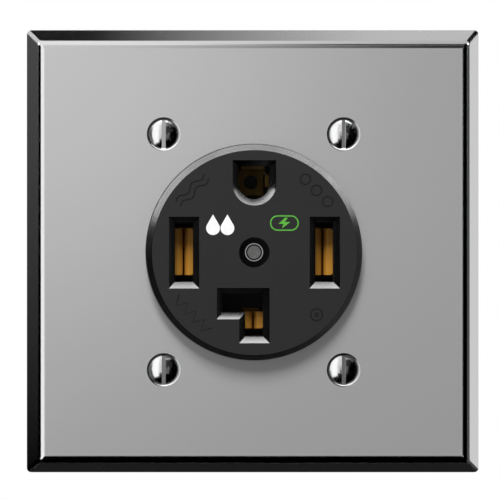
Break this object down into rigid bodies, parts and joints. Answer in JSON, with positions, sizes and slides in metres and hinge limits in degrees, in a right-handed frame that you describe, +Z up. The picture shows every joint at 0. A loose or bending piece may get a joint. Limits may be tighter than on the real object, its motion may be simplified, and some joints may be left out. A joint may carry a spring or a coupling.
{
  "type": "four prong dryer outlet",
  "caption": "Flush dryer outlet: round black face with bevelled U, L and upright slots in a bevelled two-gang steel wall plate, with rear wire clamps.",
  "frame": {"origin": "middle of the four box screws, in the plane of the wall's surface, which is the strap's back and the plate's rear rim", "axes": "+X to the right as seen from the room, +Y into the wall, +Z up"},
  "size_m": [0.1168, 0.0381, 0.1142],
  "materials": {
    "polished_steel": "polished stainless steel",
    "face_plastic": "black moulded plastic, fine satin",
    "housing_plastic": "black moulded plastic",
    "contact_brass": "stamped brass",
    "plated_steel": "zinc plated steel",
    "brass_screw": "brass plated screw",
    "silver_screw": "nickel plated screw",
    "green_screw": "green dyed screw"
  },
  "bodies": {
    "outlet": {"wall_plate": "polished_steel", "plate_screws": "polished_steel", "face_cover": "face_plastic", "rear_housing": "housing_plastic", "hot_contact_right": "contact_brass", "hot_contact_left": "contact_brass", "neutral_contact": "contact_brass", "ground_contact": "contact_brass", "bonding_strip": "contact_brass", "mounting_strap": "plated_steel", "housing_screws": "plated_steel", "centre_rivet": "plated_steel", "box_screws": "plated_steel", "box_screw_washers": "plated_steel", "wire_barrier_right": "housing_plastic", "wire_barrier_left": "housing_plastic", "wire_barrier_neutral": "housing_plastic", "wire_barrier_ground": "housing_plastic"},
    "screw_right": {"terminal_screw_right": "brass_screw"},
    "cage_right": {"clamp_cage_right": "plated_steel"},
    "screw_left": {"terminal_screw_left": "brass_screw"},
    "cage_left": {"clamp_cage_left": "plated_steel"},
    "screw_neutral": {"terminal_screw_neutral": "silver_screw"},
    "cage_neutral": {"clamp_cage_neutral": "plated_steel"},
    "screw_ground": {"terminal_screw_ground": "green_screw"},
    "cage_ground": {"clamp_cage_ground": "plated_steel"}
  },
  "joints": [
    {"name": "screw_right_turn", "type": "hinge", "parent": "outlet", "child": "screw_right", "pos_m": [0.026, 0.0213, 0], "axis": [-1, 0, 0], "range_deg": [0, 1710]},
    {"name": "cage_right_slide", "type": "slide", "parent": "outlet", "child": "cage_right", "axis": [1, 0, 0], "range_m": [0, 0.0038]},
    {"name": "screw_left_turn", "type": "hinge", "parent": "outlet", "child": "screw_left", "pos_m": [-0.026, 0.0213, 0], "axis": [1, 0, 0], "range_deg": [0, 1710]},
    {"name": "cage_left_slide", "type": "slide", "parent": "outlet", "child": "cage_left", "axis": [-1, 0, 0], "range_m": [0, 0.0038]},
    {"name": "screw_neutral_turn", "type": "hinge", "parent": "outlet", "child": "screw_neutral", "pos_m": [0, 0.0213, -0.026], "axis": [0, 0, 1], "range_deg": [0, 1710]},
    {"name": "cage_neutral_slide", "type": "slide", "parent": "outlet", "child": "cage_neutral", "axis": [0, 0, -1], "range_m": [0, 0.0038]},
    {"name": "screw_ground_turn", "type": "hinge", "parent": "outlet", "child": "screw_ground", "pos_m": [0, 0.0213, 0.026], "axis": [0, 0, -1], "range_deg": [0, 1710]},
    {"name": "cage_ground_slide", "type": "slide", "parent": "outlet", "child": "cage_ground", "axis": [0, 0, 1], "range_m": [0, 0.0038]}
  ],
  "couplings": [
    {"joint": "screw_right_turn", "follows": "cage_right_slide", "rad_per_m": 7854},
    {"joint": "screw_left_turn", "follows": "cage_left_slide", "rad_per_m": 7854},
    {"joint": "screw_neutral_turn", "follows": "cage_neutral_slide", "rad_per_m": 7854},
    {"joint": "screw_ground_turn", "follows": "cage_ground_slide", "rad_per_m": 7854}
  ]
}
